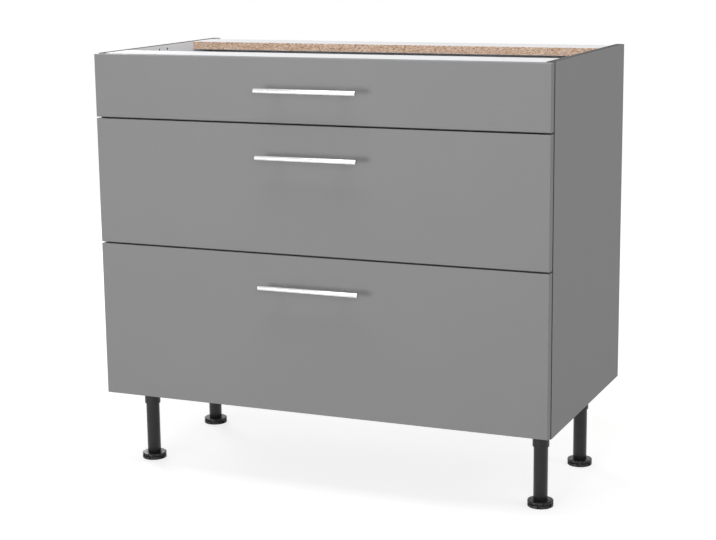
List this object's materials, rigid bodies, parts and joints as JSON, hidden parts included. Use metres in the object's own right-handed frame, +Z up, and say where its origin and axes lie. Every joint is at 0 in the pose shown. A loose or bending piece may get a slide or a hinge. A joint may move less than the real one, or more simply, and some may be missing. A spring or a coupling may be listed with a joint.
{
  "type": "kitchen base cabinet with drawers",
  "caption": "Wide kitchen base cabinet with stacked drawers on roller runners, bar handles, an open railed top and adjustable plastic legs.",
  "frame": {"origin": "on the floor under the middle of the whole, handles included", "axes": "+X to the right seen from the front, -Y the way the drawers open, +Z up"},
  "size_m": [0.9, 0.5156, 0.82],
  "materials": {
    "grey_board": "matt grey melamine on chipboard",
    "light_board": "light grey melamine on chipboard, cut edges raw",
    "hardboard": "painted hardboard",
    "runner_steel": "pale grey powder coat",
    "bracket_steel": "zinc plated",
    "handle_steel": "brushed along the bar",
    "black_plastic": "moulded, slightly glossy",
    "roller_plastic": "moulded"
  },
  "bodies": {
    "carcass": {"side_panel_left": "grey_board", "side_panel_right": "grey_board", "bottom_panel": "light_board", "front_rail": "light_board", "rear_rail": "light_board", "back_panel": "hardboard", "upper_runner_left": "runner_steel", "upper_runner_right": "runner_steel", "middle_runner_left": "runner_steel", "middle_runner_right": "runner_steel", "lower_runner_left": "runner_steel", "lower_runner_right": "runner_steel", "leg_plate_front_left": "black_plastic", "leg_tube_front_left": "black_plastic", "leg_plate_front_right": "black_plastic", "leg_tube_front_right": "black_plastic", "leg_plate_rear_left": "black_plastic", "leg_tube_rear_left": "black_plastic", "leg_plate_rear_right": "black_plastic", "leg_tube_rear_right": "black_plastic"},
    "upper_drawer": {"upper_drawer_front": "grey_board", "upper_drawer_side_left": "runner_steel", "upper_drawer_side_right": "runner_steel", "upper_drawer_bottom": "light_board", "upper_drawer_back": "light_board", "upper_drawer_brackets": "bracket_steel", "upper_drawer_handle": "handle_steel"},
    "upper_drawer_rollers": {"upper_drawer_rollers": "roller_plastic"},
    "upper_runner_rollers": {"upper_runner_rollers": "roller_plastic"},
    "middle_drawer": {"middle_drawer_front": "grey_board", "middle_drawer_side_left": "runner_steel", "middle_drawer_side_right": "runner_steel", "middle_drawer_bottom": "light_board", "middle_drawer_back": "light_board", "middle_drawer_brackets": "bracket_steel", "middle_drawer_handle": "handle_steel"},
    "middle_drawer_rollers": {"middle_drawer_rollers": "roller_plastic"},
    "middle_runner_rollers": {"middle_runner_rollers": "roller_plastic"},
    "lower_drawer": {"lower_drawer_front": "grey_board", "lower_drawer_side_left": "runner_steel", "lower_drawer_side_right": "runner_steel", "lower_drawer_bottom": "light_board", "lower_drawer_back": "light_board", "lower_drawer_brackets": "bracket_steel", "lower_drawer_handle": "handle_steel"},
    "lower_drawer_rollers": {"lower_drawer_rollers": "roller_plastic"},
    "lower_runner_rollers": {"lower_runner_rollers": "roller_plastic"},
    "foot_front_left": {"leg_foot_front_left": "black_plastic"},
    "foot_front_right": {"leg_foot_front_right": "black_plastic"},
    "foot_rear_left": {"leg_foot_rear_left": "black_plastic"},
    "foot_rear_right": {"leg_foot_rear_right": "black_plastic"}
  },
  "joints": [
    {"name": "upper_drawer_slide", "type": "slide", "parent": "carcass", "child": "upper_drawer", "axis": [0, -1, 0], "range_m": [0, 0.3]},
    {"name": "upper_runner_roller_spin", "type": "hinge", "parent": "carcass", "child": "upper_runner_rollers", "pos_m": [0, -0.18925, 0.7215], "axis": [1, 0, 0], "range_deg": [0, 1600]},
    {"name": "upper_drawer_roller_spin", "type": "hinge", "parent": "upper_drawer", "child": "upper_drawer_rollers", "pos_m": [0, 0.17825, 0.72], "axis": [1, 0, 0], "range_deg": [0, 1750]},
    {"name": "middle_drawer_slide", "type": "slide", "parent": "carcass", "child": "middle_drawer", "axis": [0, -1, 0], "range_m": [0, 0.3]},
    {"name": "middle_runner_roller_spin", "type": "hinge", "parent": "carcass", "child": "middle_runner_rollers", "pos_m": [0, -0.18925, 0.48], "axis": [1, 0, 0], "range_deg": [0, 1600]},
    {"name": "middle_drawer_roller_spin", "type": "hinge", "parent": "middle_drawer", "child": "middle_drawer_rollers", "pos_m": [0, 0.17825, 0.4785], "axis": [1, 0, 0], "range_deg": [0, 1750]},
    {"name": "lower_drawer_slide", "type": "slide", "parent": "carcass", "child": "lower_drawer", "axis": [0, -1, 0], "range_m": [0, 0.3]},
    {"name": "lower_runner_roller_spin", "type": "hinge", "parent": "carcass", "child": "lower_runner_rollers", "pos_m": [0, -0.18925, 0.1865], "axis": [1, 0, 0], "range_deg": [0, 1600]},
    {"name": "lower_drawer_roller_spin", "type": "hinge", "parent": "lower_drawer", "child": "lower_drawer_rollers", "pos_m": [0, 0.17825, 0.185], "axis": [1, 0, 0], "range_deg": [0, 1750]},
    {"name": "foot_front_left_adjust", "type": "slide", "parent": "carcass", "child": "foot_front_left", "axis": [0, 0, -1], "range_m": [0, 0.02]},
    {"name": "foot_front_right_adjust", "type": "slide", "parent": "carcass", "child": "foot_front_right", "axis": [0, 0, -1], "range_m": [0, 0.02]},
    {"name": "foot_rear_left_adjust", "type": "slide", "parent": "carcass", "child": "foot_rear_left", "axis": [0, 0, -1], "range_m": [0, 0.02]},
    {"name": "foot_rear_right_adjust", "type": "slide", "parent": "carcass", "child": "foot_rear_right", "axis": [0, 0, -1], "range_m": [0, 0.02]}
  ],
  "couplings": [
    {"joint": "upper_runner_roller_spin", "follows": "upper_drawer_slide", "rad_per_m": 90.909},
    {"joint": "upper_drawer_roller_spin", "follows": "upper_drawer_slide", "rad_per_m": 100},
    {"joint": "middle_runner_roller_spin", "follows": "middle_drawer_slide", "rad_per_m": 90.909},
    {"joint": "middle_drawer_roller_spin", "follows": "middle_drawer_slide", "rad_per_m": 100},
    {"joint": "lower_runner_roller_spin", "follows": "lower_drawer_slide", "rad_per_m": 90.909},
    {"joint": "lower_drawer_roller_spin", "follows": "lower_drawer_slide", "rad_per_m": 100}
  ]
}
